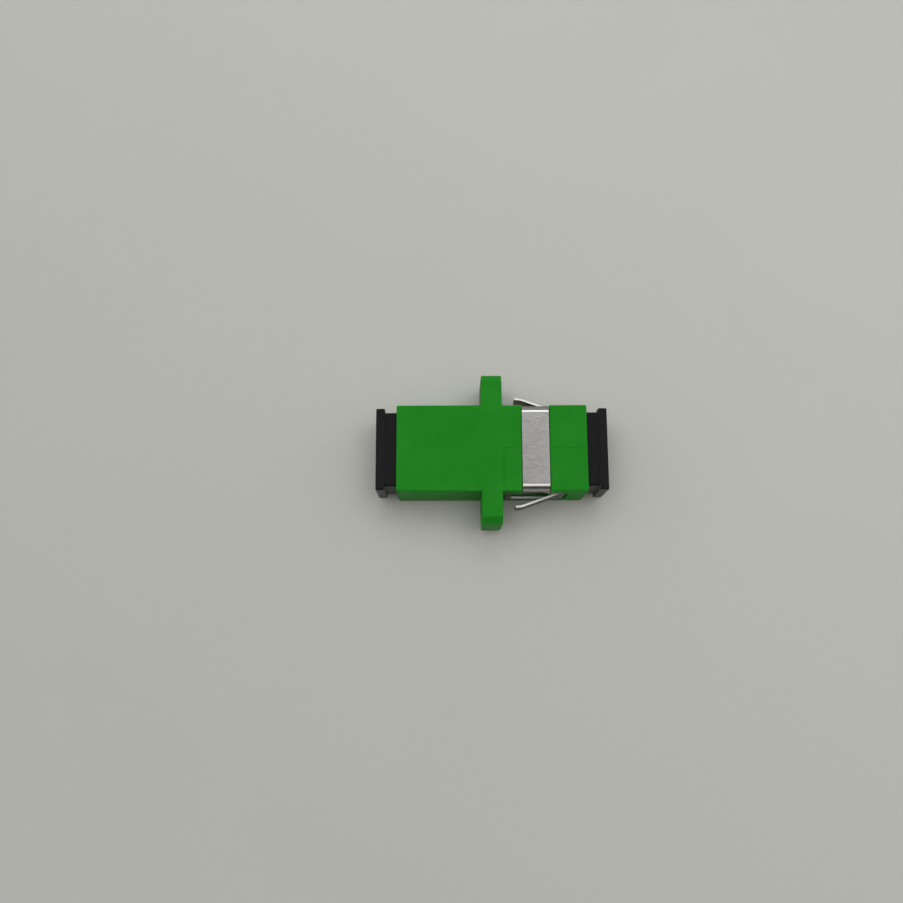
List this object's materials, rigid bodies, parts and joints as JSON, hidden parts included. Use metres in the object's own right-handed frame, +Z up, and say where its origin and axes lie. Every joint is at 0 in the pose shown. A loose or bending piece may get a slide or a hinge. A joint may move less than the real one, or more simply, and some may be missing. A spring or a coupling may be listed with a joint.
{
  "type": "fibre optic adapter",
  "caption": "Rectangular inline fibre coupler that joins plugs end to end, with a screw flange, a folded spring clip for panel cut-outs and push-in dust caps.",
  "frame": {"origin": "the optical centre, where the ends of the two ferrules meet: the middle of the adapter in all three directions", "axes": "+X along the fibre towards the end with the panel clip, +Y along the flange, +Z up through the broad face that the clip crosses"},
  "size_m": [0.0336, 0.022, 0.0092],
  "materials": {
    "housing_plastic": "satin moulded, green",
    "clip_steel": "rolled spring sheet, satin",
    "insert_plastic": "moulded, green",
    "sleeve_ceramic": "ground, white",
    "cap_plastic": "soft moulded, black"
  },
  "bodies": {
    "adapter": {"housing": "housing_plastic", "panel_clip": "clip_steel", "latch_insert_left": "insert_plastic", "latch_insert_right": "insert_plastic", "alignment_sleeve": "sleeve_ceramic"},
    "left_cap": {"dust_cap_left": "cap_plastic"},
    "right_cap": {"dust_cap_right": "cap_plastic"}
  },
  "joints": [
    {"name": "left_cap_slide", "type": "slide", "parent": "adapter", "child": "left_cap", "axis": [-1, 0, 0], "range_m": [0, 0.016]},
    {"name": "right_cap_slide", "type": "slide", "parent": "adapter", "child": "right_cap", "axis": [1, 0, 0], "range_m": [0, 0.016]}
  ]
}
